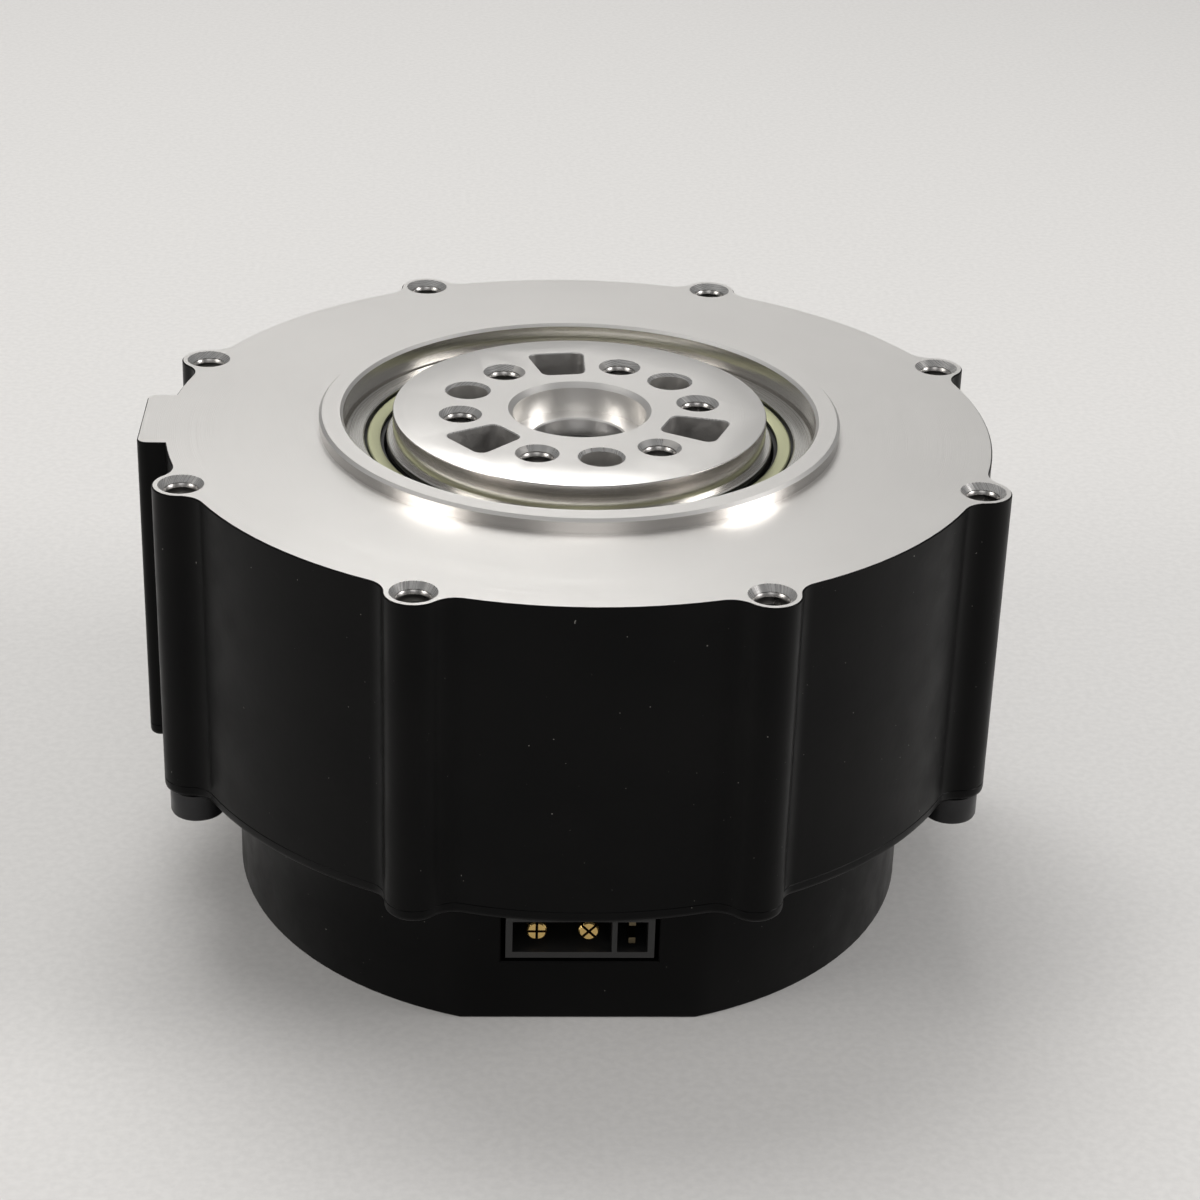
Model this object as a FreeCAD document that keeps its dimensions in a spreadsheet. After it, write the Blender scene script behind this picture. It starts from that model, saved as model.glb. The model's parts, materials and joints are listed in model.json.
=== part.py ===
import FreeCAD, Part
import math
import os
import re
import Sketcher
from FreeCAD import Placement, Rotation, Vector

# Hollow robot joint actuator: a brushless motor around a planetary gear set.
# +Z is the output axis, z = 0 is the face that the actuator stands on. Millimetres and degrees.

doc = FreeCAD.newDocument("JointActuator")
os.makedirs("parts", exist_ok=True)

# ---------------------------------------------------------------- driving sizes

sizeRows = [
    # front housing
    ("body_wall", 2.0, "thickness of the round wall"),
    ("bearing_sink", 1.2, "mounting face above the output bearing"),
    ("face_thickness", 4.0, "plate behind the mounting face"),
    ("ear_offset", 0.25, "axis of a screw column beyond the round wall"),
    ("ear_radius", 2.75, "screw column"),
    ("ear_fillet", 2.5, "hollow corner beside a column"),
    ("ear_turn", 22.5, "first column from +X"),
    ("pad_rise", 2.35, "index pad on the -X side, beyond the round wall"),
    ("pad_width", 12.2, "index pad"),
    ("pad_round", 1.0, "corners of the index pad"),
    ("lip_wall", 2.39, "locating ring round the output bearing"),
    ("lip_rise", 1.4, "top of the locating ring above the mounting face"),
    ("boss_wall", 2.99, "gear boss inside the housing"),
    ("boss_drop", 1.4, "lower end of the gear boss below the ring gear"),
    ("thread_radius", 1.65, "M4 core hole"),
    ("ear_thread_depth", 9.0, "M4 holes in the columns"),
    # gear set
    ("pressure_angle", 20.0, "tooth flank"),
    ("sun_teeth", 9, "sun gear"),
    ("planet_teeth", 36, "each planet gear"),
    ("tooth_addendum", 0.75, "tooth above the pitch circle on the sun and the ring, in modules"),
    ("planet_addendum", 0.57, "the same on the planets, short of the sun's base circle"),
    ("tooth_dedendum", 1.1, "tooth below the pitch circle, in modules"),
    ("tooth_thinning", 0.05, "taken off each tooth for backlash"),
    ("carrier_room", 1.8, "rotor disc to the carrier plate"),
    ("gear_width", 8.5, "face width of the planet gears"),
    ("gear_play", 0.3, "planets to the plates above and below"),
    ("ring_margin", 0.5, "ring and sun teeth beyond the planets"),
    ("gear_turn", -81.8, "first planet from +X"),
    ("pin_radius", 2.5, "planet pins"),
    # output bearing, 35 x 47 x 7
    ("bearing_section", 6.0, "outside less bore, radius"),
    ("ring_back", 1.3133, "ring gear behind its teeth, which gives the bearing its outside"),
    ("bearing_width", 7.0, "output bearing"),
    ("bearing_drop", 1.2, "output bearing above the planets"),
    ("inner_race_wall", 1.7, "output bearing"),
    ("shield_gap", 0.25, "open slit beside the inner race"),
    # output flange and carrier
    ("flange_rim", 1.1, "output flange beyond the bearing bore"),
    ("flange_rise", 1.5, "output face above the mounting face"),
    ("bolt_circle", 12.0, "radius that all output holes are on"),
    ("bolt_depth", 7.0, "M4 holes in the output face"),
    ("dowel_radius", 2.0, "dowels of whatever is bolted to the output face"),
    ("dowel_depth", 8.4, "dowel holes, down to the ends of the planet pins"),
    ("pilot_radius", 6.65, "pilot bore"),
    ("pilot_depth", 3.0, "pilot bore"),
    ("throat_radius", 4.7, "hole below the pilot bore"),
    ("throat_depth", 1.9, "hole below the pilot bore"),
    ("window_inner", 9.1, "pocket between the output holes"),
    ("window_outer", 14.9, "pocket between the output holes"),
    ("window_narrow", 4.2, "inner end of a pocket"),
    ("window_wide", 5.9, "outer end of a pocket"),
    ("window_round", 0.9, "corner of a pocket"),
    ("window_depth", 6.0, "pocket"),
    ("carrier_thickness", 2.8, "plate under the planets"),
    ("carrier_reach", 17.5, "corners of the plate"),
    ("carrier_spread", 18.0, "corners of the plate either side of a pin"),
    ("carrier_hole", 4.3, "plate round the sun shaft"),
    # rotor
    ("upper_journal", 2.5, "shaft in the output flange"),
    ("upper_bearing_outside", 5.5, "radius"),
    ("upper_bearing_width", 4.0, "rotor bearing in the output flange"),
    ("shaft_radius", 3.0, "rotor shaft"),
    ("lower_bearing_outside", 6.5, "radius"),
    ("lower_bearing_width", 5.0, "rotor bearing in the rear cover"),
    ("small_race_wall", 0.85, "races of the rotor bearings"),
    ("rotor_room", 0.6, "rotor disc above the bearing boss"),
    ("rotor_disc", 2.4, "thickness"),
    ("boss_room", 0.7, "back iron round the gear boss"),
    ("rotor_iron", 2.0, "back iron"),
    ("spoke_count", 6, "openings in the rotor disc"),
    ("spoke_inner", 10.0, "openings in the rotor disc"),
    ("spoke_outer", 24.0, "openings in the rotor disc"),
    ("spoke_width", 5.0, "arm between two openings"),
    ("magnet_count", 28, "magnets"),
    ("magnet_thickness", 1.4, "magnets"),
    ("magnet_width", 5.6, "magnets"),
    # stator
    ("coil_room", 1.8, "windings below the plate of the housing"),
    ("stack_height", 12.5, "lamination stack"),
    ("air_gap", 0.5, "magnets to stator"),
    ("slot_count", 24, "stator teeth"),
    ("slot_mouth", 1.8, "opening between two tooth tips"),
    ("tip_thickness", 0.9, "tooth tips"),
    ("tooth_width", 3.2, "stator teeth"),
    ("yoke_width", 2.4, "ring behind the teeth"),
    ("coil_depth", 4.59, "tooth tips to the ring behind them"),
    ("coil_side", 2.0, "winding beside a tooth"),
    ("coil_end", 2.0, "winding beyond the stack"),
    ("coil_gap", 0.3, "winding to tooth tips and yoke"),
    ("lead_width", 2.4, "flat phase leads"),
    ("lead_thickness", 0.8, "flat phase leads"),
    ("lead_inset", 2.15, "phase leads inwards of the board edge"),
    ("lead_height", 1.5, "level run of the phase leads above the rear cover"),
    ("lead_spread", 10.0, "angle between two phase leads"),
    # rear cover
    ("base_height", 16.1, "underside of the rear cover"),
    ("cover_thickness", 2.8, "rear cover"),
    ("cover_flange", 1.3, "rim of the rear cover"),
    ("cover_boss_radius", 9.0, "bearing boss"),
    ("cover_hole", 4.4, "hole below the bearing"),
    ("cover_ledge", 1.9, "web below the bearing"),
    ("cover_screw_radius", 1.2, "M3 core"),
    ("cover_head_radius", 2.7, "M3 cap head"),
    ("cover_head_height", 2.9, "M3 cap head"),
    ("cover_head_shift", 0.45, "screws inwards of the columns"),
    ("cover_screw_depth", 8.0, "M3 into a column"),
    # controller
    ("case_step", 6.25, "controller case inside the round wall"),
    ("case_wall", 1.8, "controller case"),
    ("case_floor", 1.8, "controller case"),
    ("flat_depth", 1.95, "front flat of the case"),
    ("post_length", 2.2, "rear cover to the board"),
    ("board_thickness", 1.6, "board"),
    ("board_room", 0.75, "board corners to the case"),
    ("post_circle", 24.5, "board posts"),
    ("post_width", 4.4, "board posts"),
    ("post_turn", 45.0, "first board post from +X"),
    ("sensor_magnet_radius", 3.0, "sensor magnet"),
    ("sensor_gap", 0.9, "sensor chip to its magnet"),
    ("sensor_height", 0.9, "sensor chip"),
    ("sensor_size", 5.0, "sensor chip"),
    ("transistor_circle", 13.5, "power transistors"),
    ("chip_size", 5.0, "power transistors"),
    ("chip_height", 1.0, "power transistors and processor"),
    ("processor_size", 7.0, "processor"),
    ("capacitor_circle", 22.5, "capacitors"),
    ("capacitor_spread", 20.0, "angle between two capacitors"),
    ("capacitor_length", 7.3, "capacitors"),
    ("capacitor_width", 4.3, "capacitors"),
    ("capacitor_height", 4.1, "capacitors"),
    # connector
    ("socket_width", 15.2, "opening in the case"),
    ("socket_height", 5.6, "opening in the case"),
    ("socket_drop", 0.2, "opening below the board"),
    ("shell_gap", 0.45, "connector in its opening"),
    ("shell_wall", 0.65, "connector"),
    ("shell_depth", 9.5, "connector"),
    ("cavity_depth", 7.0, "connector"),
    ("pin_pitch", 5.0, "power pins"),
    ("power_pin_place", -4.15, "first power pin"),
    ("power_pin_radius", 1.0, "power pins"),
    ("power_pin_sink", 1.0, "pin tips behind the connector face"),
    ("partition_place", 3.3, "wall between power and signal"),
    ("partition_width", 0.5, "wall between power and signal"),
    ("signal_pin_width", 0.64, "square signal pins"),
    ("signal_pitch", 2.0, "signal pins"),
    # fits
    ("seat_gap", 0.01, "pieces pressed or glued together"),
    ("slide_gap", 0.05, "running and locating fits"),
    ("free_gap", 0.4, "holes round screws, chips and cables"),
]

sheet = doc.addObject("Spreadsheet::Sheet", "Sizes")
for row, (alias, number, note) in enumerate(sizeRows, 1):
    sheet.set("A%d" % row, note)
    sheet.set("B%d" % row, str(number))
    sheet.setAlias("B%d" % row, alias)
doc.recompute()


ringTeeth = float(sheet.get("sun_teeth")) + 2 * float(sheet.get("planet_teeth"))
meshTeeth = float(sheet.get("sun_teeth")) + float(sheet.get("planet_teeth"))
rootShare = (ringTeeth + 2 * float(sheet.get("tooth_dedendum"))) / meshTeeth

# Heights and radii that follow from the sizes, as sums of (size, factor).
# Heights run up from the rear cover, through the rotor and the gears, to the output face.
# Radii run out from the ring gear, through the motor, to the wall.
sums = {
    "rim_height": (("base_height", 1), ("cover_flange", 1)),
    "cover_top": (("base_height", 1), ("cover_thickness", 1)),
    "lower_seat_bottom": (("base_height", 1), ("cover_ledge", 1)),
    "lower_seat_top": (("lower_seat_bottom", 1), ("lower_bearing_width", 1)),
    "rotor_bottom": (("lower_seat_top", 1), ("rotor_room", 1)),
    "disc_top": (("rotor_bottom", 1), ("rotor_disc", 1)),
    "carrier_bottom": (("disc_top", 1), ("carrier_room", 1)),
    "carrier_top": (("carrier_bottom", 1), ("carrier_thickness", 1)),
    "gear_bottom": (("carrier_top", 1), ("gear_play", 1)),
    "gear_top": (("gear_bottom", 1), ("gear_width", 1)),
    "flange_bottom": (("gear_top", 1), ("gear_play", 1)),
    "sun_top": (("gear_top", 1), ("ring_margin", 1)),
    "ring_bottom": (("gear_bottom", 1), ("ring_margin", -1)),
    "boss_bottom": (("ring_bottom", 1), ("boss_drop", -1)),
    "bearing_bottom": (("gear_top", 1), ("bearing_drop", 1)),
    "ring_top": (("bearing_bottom", 1), ("seat_gap", -1)),
    "bearing_top": (("bearing_bottom", 1), ("bearing_width", 1)),
    "face_height": (("bearing_top", 1), ("bearing_sink", 1)),
    "lip_height": (("face_height", 1), ("lip_rise", 1)),
    "flange_height": (("face_height", 1), ("flange_rise", 1)),
    "plate_inside": (("face_height", 1), ("face_thickness", -1)),
    "pilot_floor": (("flange_height", 1), ("pilot_depth", -1)),
    "upper_seat_top": (("pilot_floor", 1), ("throat_depth", -1)),
    "stack_top": (("plate_inside", 1), ("coil_room", -1), ("coil_end", -1)),
    "stack_bottom": (("stack_top", 1), ("stack_height", -1)),
    "board_top": (("base_height", 1), ("post_length", -1)),
    "board_bottom": (("board_top", 1), ("board_thickness", -1)),
    "socket_top": (("board_bottom", 1), ("socket_drop", -1)),
    "socket_bottom": (("socket_top", 1), ("socket_height", -1)),
    "shell_top": (("socket_top", 1), ("shell_gap", -1)),
    "shell_bottom": (("socket_bottom", 1), ("shell_gap", 1)),
    "bearing_outside": (("bolt_circle", rootShare), ("ring_back", 1)),
    "bearing_bore": (("bearing_outside", 1), ("bearing_section", -1)),
    "flange_radius": (("bearing_bore", 1), ("flange_rim", 1)),
    "lip_radius": (("bearing_outside", 1), ("seat_gap", 1), ("lip_wall", 1)),
    "boss_radius": (("bearing_outside", 1), ("seat_gap", 1), ("boss_wall", 1)),
    "rotor_inside": (("boss_radius", 1), ("boss_room", 1)),
    "iron_outside": (("rotor_inside", 1), ("rotor_iron", 1)),
    "stator_inside": (("iron_outside", 1), ("magnet_thickness", 1), ("air_gap", 1)),
    "tip_outside": (("stator_inside", 1), ("tip_thickness", 1)),
    "yoke_inside": (("tip_outside", 1), ("coil_depth", 1)),
    "stator_outside": (("yoke_inside", 1), ("yoke_width", 1)),
    "wall_inside": (("stator_outside", 1), ("seat_gap", 1)),
    "body_radius": (("wall_inside", 1), ("body_wall", 1)),
    "ear_circle": (("body_radius", 1), ("ear_offset", 1)),
    "pad_reach": (("body_radius", 1), ("pad_rise", 1)),
    "case_radius": (("body_radius", 1), ("case_step", -1)),
    "case_inside": (("case_radius", 1), ("case_wall", -1)),
    "case_flat": (("case_radius", 1), ("flat_depth", -1)),
    "flat_inside": (("case_flat", 1), ("case_wall", -1)),
    "board_reach": (("case_inside", 1), ("board_room", -1)),
    "lead_circle": (("board_reach", math.cos(math.pi / 8)), ("lead_inset", -1)),
    "pin_hole": (("pin_radius", 1), ("seat_gap", 1)),
    "pin_seat_top": (("flange_height", 1), ("dowel_depth", -1)),
    "dowel_hole": (("dowel_radius", 1), ("seat_gap", 1)),
}


def size(name):
    """The value of a size or of a sum."""
    if name in sums:
        return sum(factor * size(part) for part, factor in sums[name])
    return float(sheet.get(name))


def bound(text):
    """An expression in size names as FreeCAD reads it."""
    def word(match):
        name = match.group()
        if name not in sums:
            return "Sizes." + name
        terms = ["%.9g * (%s)" % (factor, bound(part)) for part, factor in sums[name]]
        return "(" + " + ".join(terms) + ")"
    return re.sub(r"[a-z]+(?:_[a-z]+)+", word, text)


# ---------------------------------------------------------------- sketches and features

def newBody(label):
    body = doc.addObject("PartDesign::Body", label)
    body.Label = label
    return body


def originPart(body, role):
    return [item for item in body.Origin.OriginFeatures if item.Role == role][0]


def newSketch(body, plane="XY_Plane", offset="0", turn="0"):
    """A sketch on an origin plane, moved along its normal and turned about the actuator's axis."""
    sketch = body.newObject("Sketcher::SketchObject", body.Label + "_sketch")
    sketch.AttachmentSupport = [(originPart(body, plane), "")]
    sketch.MapMode = "FlatFace"
    turnAxis = Vector(0, 0, 1) if plane == "XY_Plane" else Vector(0, 1, 0)
    sketch.AttachmentOffset = Placement(Vector(0, 0, 0), Rotation(turnAxis, 1))
    sketch.setExpression(".AttachmentOffset.Base.z", bound(offset))
    sketch.setExpression(".AttachmentOffset.Rotation.Angle", "1deg * (%s)" % bound(turn))
    return sketch


def place(sketch, geometry, point, x, y):
    """Dimensions a point of the sketch from its origin."""
    for kind, text in (("DistanceX", x), ("DistanceY", y)):
        index = sketch.addConstraint(Sketcher.Constraint(kind, -1, 1, geometry, point, 1.0))
        sketch.setExpression("Constraints[%d]" % index, bound(text))


def addOutline(sketch, points):
    """A closed outline of straight lines through dimensioned points."""
    count = len(points)
    first = sketch.GeometryCount
    corners = [Vector(20 * math.cos(2 * math.pi * i / count), 20 * math.sin(2 * math.pi * i / count), 0)
               for i in range(count)]
    for i in range(count):
        sketch.addGeometry(Part.LineSegment(corners[i], corners[(i + 1) % count]))
    for i in range(count):
        following = first + (i + 1) % count
        sketch.addConstraint(Sketcher.Constraint("Coincident", first + i, 2, following, 1))
    for i, (x, y) in enumerate(points):
        place(sketch, first + i, 1, x, y)


def addBlock(sketch, left, right, bottom, top):
    addOutline(sketch, [(left, bottom), (right, bottom), (right, top), (left, top)])


def addCircle(sketch, radius, x="0", y="0"):
    index = sketch.addGeometry(Part.Circle(Vector(5, 5, 0), Vector(0, 0, 1), 2.0))
    place(sketch, index, 3, x, y)
    limit = sketch.addConstraint(Sketcher.Constraint("Radius", index, 2.0))
    sketch.setExpression("Constraints[%d]" % limit, bound(radius))


def repeat(body, feature, count):
    """Copies a feature round the actuator's axis."""
    pattern = body.newObject("PartDesign::PolarPattern", body.Label + "_copies")
    pattern.Originals = [feature]
    pattern.Axis = (originPart(body, "Z_Axis"), [""])
    pattern.Angle = 360
    pattern.setExpression("Occurrences", bound(count))
    body.Tip = pattern
    return pattern


def spin(body, outline, axis="0", turns=("0",), count="1"):
    """Revolves an outline of (radius, height) about a vertical line, and repeats it round the actuator."""
    for turn in turns:
        sketch = newSketch(body, "XZ_Plane", "0", turn)
        addOutline(sketch, [("%s + %s" % (axis, x), z) for x, z in outline])
        line = sketch.addGeometry(Part.LineSegment(Vector(1, 0, 0), Vector(1, 30, 0)), True)
        place(sketch, line, 1, axis, "0")
        place(sketch, line, 2, axis, "30")
        feature = body.newObject("PartDesign::Revolution", body.Label + "_turned")
        feature.Profile = sketch
        feature.ReferenceAxis = (sketch, ["Axis0"])
        feature.Angle = 360
        body.Tip = feature
        if count != "1":
            repeat(body, feature, count)
    return body


def raised(body, sketch, height, count="1"):
    feature = body.newObject("PartDesign::Pad", body.Label + "_pad")
    feature.Profile = sketch
    feature.setExpression("Length", bound(height))
    body.Tip = feature
    if count != "1":
        repeat(body, feature, count)
    return feature


def cut(body, sketch, depth, count="1"):
    """Cuts below a sketch, and repeats the cut. A cut that takes nothing is an error."""
    doc.recompute()
    before = body.Shape.Volume
    feature = body.newObject("PartDesign::Pocket", body.Label + "_cut")
    feature.Profile = sketch
    feature.setExpression("Length", bound(depth))
    body.Tip = feature
    if count != "1":
        repeat(body, feature, count)
    doc.recompute()
    if body.Shape.Volume >= before:
        raise RuntimeError("a cut takes nothing from " + body.Label)
    return feature


def drill(body, radius, top, depth, circle="0", turns=("0",), count="1"):
    """Holes straight down from a height."""
    for turn in turns:
        sketch = newSketch(body, "XY_Plane", top, turn)
        addCircle(sketch, radius, circle)
        cut(body, sketch, depth, count)


def solid(label, shape, turn=0, x=0, y=0):
    """A piece whose shape is worked out below, turned about the vertical and moved."""
    piece = doc.addObject("Part::Feature", label)
    piece.Label = label
    piece.Shape = shape
    piece.Placement = Placement(Vector(x, y, 0), Rotation(Vector(0, 0, 1), turn))
    return piece


def gearModule():
    """Tooth size: the sun and a planet meet between the axis and the output holes."""
    return 2 * size("bolt_circle") / (size("sun_teeth") + size("planet_teeth"))


# ---------------------------------------------------------------- shared outlines

def addEarOutline(sketch):
    """One screw column with its two hollow corners, closed by a chord inside the wall."""
    wall = size("body_radius")
    ear = size("ear_radius")
    middle = size("ear_circle")
    hollow = size("ear_fillet")
    x = (middle ** 2 + (wall + hollow) ** 2 - (ear + hollow) ** 2) / (2 * middle)
    y = math.sqrt((wall + hollow) ** 2 - x ** 2)
    across = math.degrees(math.atan2(y, x - middle))
    back = math.degrees(math.atan2(y, x))

    def arc(centre, radius, start, end):
        round = Part.Circle(Vector(centre[0], centre[1], 0), Vector(0, 0, 1), radius)
        return Part.ArcOfCircle(round, math.radians(start), math.radians(end))

    sketch.addGeometry(arc((middle, 0), ear, -across, across))
    sketch.addGeometry(arc((x, y), hollow, 180 + back, 180 + across))
    sketch.addGeometry(arc((x, -y), hollow, 180 - across, 180 - back))
    near = Vector(wall * math.cos(math.radians(back)), wall * math.sin(math.radians(back)), 0)
    sketch.addGeometry(Part.LineSegment(near, Vector(near.x, -near.y, 0)))
    circle = Part.Circle(Vector(0, 0, 0), Vector(0, 0, 1), wall)
    sketch.addGeometry(circle, True)
    rules = [
        ("PointOnObject", 0, 3, -1),
        ("Coincident", 4, 3, -1, 1),
        ("Tangent", 0, 2, 1, 2),
        ("Tangent", 0, 1, 2, 1),
        ("Tangent", 1, 1, 4),
        ("Tangent", 2, 2, 4),
        ("Coincident", 3, 1, 1, 1),
        ("Coincident", 3, 2, 2, 2),
        ("Equal", 1, 2),
    ]
    for rule in rules:
        sketch.addConstraint(Sketcher.Constraint(*rule))
    for kind, name, item in (("Radius", "ear_radius", 0), ("Radius", "ear_fillet", 1), ("Radius", "body_radius", 4)):
        index = sketch.addConstraint(Sketcher.Constraint(kind, item, size(name)))
        sketch.setExpression("Constraints[%d]" % index, bound(name))
    index = sketch.addConstraint(Sketcher.Constraint("DistanceX", -1, 1, 0, 3, middle))
    sketch.setExpression("Constraints[%d]" % index, bound("ear_circle"))


def addRim(body, bottom, height):
    """The eight columns and the index pad, on the housing and on the rear cover."""
    ear = newSketch(body, "XY_Plane", bottom, "ear_turn")
    addEarOutline(ear)
    raised(body, ear, height, "8")
    pad = newSketch(body, "XY_Plane", bottom, "180")
    addBlock(pad, "wall_inside + seat_gap", "pad_reach", "-pad_width / 2", "pad_width / 2")
    raised(body, pad, height)
    doc.recompute()
    corners = []
    for index, edge in enumerate(body.Shape.Edges, 1):
        box = edge.BoundBox
        upright = box.ZLength > 0.9 * size("cover_flange") and box.XLength + box.YLength < 1e-3
        if upright and abs(box.XMin + size("pad_reach")) < 1e-3:
            corners.append("Edge%d" % index)
    base = body.Tip
    rounded = body.newObject("PartDesign::Fillet", body.Label + "_pad_corners")
    rounded.Base = (base, corners)
    rounded.setExpression("Radius", bound("pad_round"))
    body.Tip = rounded


def toothWire(teeth, tip, root, thinning, inside=False):
    """A gear outline with involute flanks, its first tooth (or gap, on a ring gear) on +X."""
    pitch = gearModule() * teeth / 2
    pressure = math.radians(size("pressure_angle"))
    base = pitch * math.cos(pressure)
    atPitch = math.tan(pressure) - pressure
    half = math.pi / 2 / teeth + (thinning if inside else -thinning) / 2 / pitch

    def flank(radius):
        if radius <= base:
            return half + atPitch
        roll = math.acos(base / radius)
        return half + atPitch - (math.tan(roll) - roll)

    start = max(root, base)
    levels = [root, (start + tip) / 2, tip]
    if start > root + 0.05 * gearModule():
        levels.insert(1, start)
    points = []
    for tooth in range(teeth):
        centre = 2 * math.pi * tooth / teeth
        side = [(radius, centre - flank(radius)) for radius in levels]
        side += [(radius, centre + flank(radius)) for radius in reversed(levels)]
        points += [Vector(radius * math.cos(turn), radius * math.sin(turn), 0) for radius, turn in side]
    return Part.makePolygon(points + points[:1])


def extruded(wire, bottom, top):
    face = Part.Face(wire)
    face.translate(Vector(0, 0, bottom))
    return face.extrude(Vector(0, 0, top - bottom))


# ---------------------------------------------------------------- fixed housing

def frontHousing():
    body = newBody("front_housing")
    spin(body, [
        ("wall_inside", "rim_height"), ("body_radius", "rim_height"), ("body_radius", "face_height"),
        ("lip_radius", "face_height"), ("lip_radius", "lip_height"),
        ("bearing_outside + seat_gap", "lip_height"), ("bearing_outside + seat_gap", "boss_bottom"),
        ("boss_radius", "boss_bottom"), ("boss_radius", "plate_inside"), ("wall_inside", "plate_inside"),
    ])
    addRim(body, "rim_height", "face_height - rim_height")
    drill(body, "thread_radius", "face_height", "ear_thread_depth", "ear_circle", ("ear_turn",), "8")
    drill(body, "cover_screw_radius + seat_gap", "rim_height + cover_screw_depth", "cover_screw_depth",
          "ear_circle - cover_head_shift", ("ear_turn", "-ear_turn"), "2")
    return body


def rearCover():
    """The rotor bearing sits in its middle and the board hangs on its posts."""
    body = newBody("rear_cover")
    spin(body, [
        ("cover_hole", "base_height"), ("body_radius", "base_height"),
        ("body_radius", "base_height + cover_flange"), ("wall_inside - slide_gap", "base_height + cover_flange"),
        ("wall_inside - slide_gap", "cover_top"), ("cover_boss_radius", "cover_top"),
        ("cover_boss_radius", "lower_seat_top"), ("lower_bearing_outside + seat_gap", "lower_seat_top"),
        ("lower_bearing_outside + seat_gap", "lower_seat_bottom"), ("cover_hole", "lower_seat_bottom"),
    ])
    addRim(body, "base_height", "cover_flange")
    posts = newSketch(body, "XY_Plane", "board_top", "post_turn")
    addBlock(posts, "post_circle - post_width / 2", "post_circle + post_width / 2", "-post_width / 2",
             "post_width / 2")
    raised(body, posts, "post_length", "4")
    slot = newSketch(body, "XY_Plane", "cover_top", "90")
    reach = "lead_circle * sin(1deg * lead_spread) + lead_width / 2 + 2 * free_gap"
    near = "lead_circle * cos(1deg * lead_spread) - lead_width * sin(1deg * lead_spread) - free_gap"
    addBlock(slot, near, "lead_circle + lead_thickness + free_gap", "-(%s)" % reach, reach)
    cut(body, slot, "cover_thickness")
    drill(body, "cover_screw_radius + slide_gap", "base_height + cover_flange", "cover_flange",
          "ear_circle - cover_head_shift", ("ear_turn", "-ear_turn"), "2")
    return body


def coverScrews():
    body = newBody("cover_screws")
    top = "rim_height + cover_screw_depth - free_gap"
    low = "base_height - cover_head_height"
    spin(body, [
        ("0", low), ("cover_head_radius", low), ("cover_head_radius", "base_height"),
        ("cover_screw_radius", "base_height"), ("cover_screw_radius", top), ("0", top),
    ], "ear_circle - cover_head_shift", ("ear_turn", "-ear_turn"), "2")
    return body


# ---------------------------------------------------------------- output bearing

def outputBearing():
    """The outer race carries the two shields, which close it over the balls."""
    inner = newBody("bearing_inner_race")
    edge = "bearing_bore + inner_race_wall"
    spin(inner, [
        ("bearing_bore", "bearing_bottom"), (edge, "bearing_bottom"), (edge, "bearing_top"),
        ("bearing_bore", "bearing_top")])
    outer = newBody("bearing_outer_race")
    slit = edge + " + shield_gap"
    spin(outer, [
        (slit, "bearing_bottom"), ("bearing_outside", "bearing_bottom"), ("bearing_outside", "bearing_top"),
        (slit, "bearing_top")])


def smallBearing(label, bore, outside, bottom, width):
    """A shielded bearing of the rotor. Its inner race is a collar of the rotor shaft."""
    body = newBody(label)
    top = "%s + %s" % (bottom, width)
    near = bore + " + small_race_wall + shield_gap"
    spin(body, [(near, bottom), (outside, bottom), (outside, top), (near, top)])
    return body


# ---------------------------------------------------------------- output flange and carrier

def outputFlange():
    body = newBody("output_flange")
    hub = "bearing_bore - seat_gap"
    seat = "upper_bearing_outside + seat_gap"
    spin(body, [
        (seat, "flange_bottom"), (hub, "flange_bottom"), (hub, "bearing_top"), ("flange_radius", "bearing_top"),
        ("flange_radius", "flange_height"), ("pilot_radius", "flange_height"), ("pilot_radius", "pilot_floor"),
        ("throat_radius", "pilot_floor"), ("throat_radius", "upper_seat_top"), (seat, "upper_seat_top"),
    ])
    drill(body, "thread_radius", "flange_height", "bolt_depth", "bolt_circle", ("gear_turn + 30",), "6")
    drill(body, "dowel_hole", "flange_height", "dowel_depth", "bolt_circle", ("gear_turn",), "3")
    drill(body, "pin_hole", "pin_seat_top", "pin_seat_top - flange_bottom", "bolt_circle", ("gear_turn",), "3")
    window = newSketch(body, "XY_Plane", "flange_height", "gear_turn + 60")
    addOutline(window, [
        ("window_inner", "-window_narrow / 2"), ("window_outer", "-window_wide / 2"),
        ("window_outer", "window_wide / 2"), ("window_inner", "window_narrow / 2")])
    cut(body, window, "window_depth", "3")
    corners = []
    for index, edge in enumerate(body.Shape.Edges, 1):
        box = edge.BoundBox
        upright = abs(box.ZLength - size("window_depth")) < 1e-3 and box.XLength + box.YLength < 1e-3
        if upright and hasattr(edge.Curve, "Direction"):
            corners.append("Edge%d" % index)
    base = body.Tip
    rounded = body.newObject("PartDesign::Fillet", "window_corners")
    rounded.Base = (base, corners)
    rounded.setExpression("Radius", bound("window_round"))
    body.Tip = rounded
    return body


def carrierPlate():
    """The plate under the planets, with its corners out beyond the pins."""
    body = newBody("carrier_plate")
    outline = newSketch(body, "XY_Plane", "carrier_bottom", "gear_turn")
    corners = ["1deg * (%d * 120 + %s * carrier_spread)" % (arm, side) for arm in range(3) for side in (-1, 1)]
    addOutline(outline, [("carrier_reach * cos(%s)" % turn, "carrier_reach * sin(%s)" % turn) for turn in corners])
    addCircle(outline, "carrier_hole")
    raised(body, outline, "carrier_thickness")
    drill(body, "pin_hole", "carrier_top", "carrier_thickness", "bolt_circle", ("gear_turn",), "3")
    return body


def planetPins():
    body = newBody("planet_pins")
    top = "pin_seat_top - slide_gap"
    spin(body, [
        ("0", "carrier_bottom + free_gap"), ("pin_radius", "carrier_bottom + free_gap"),
        ("pin_radius", top), ("0", top)], "bolt_circle", ("gear_turn",), "3")
    return body


# ---------------------------------------------------------------- gears

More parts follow.
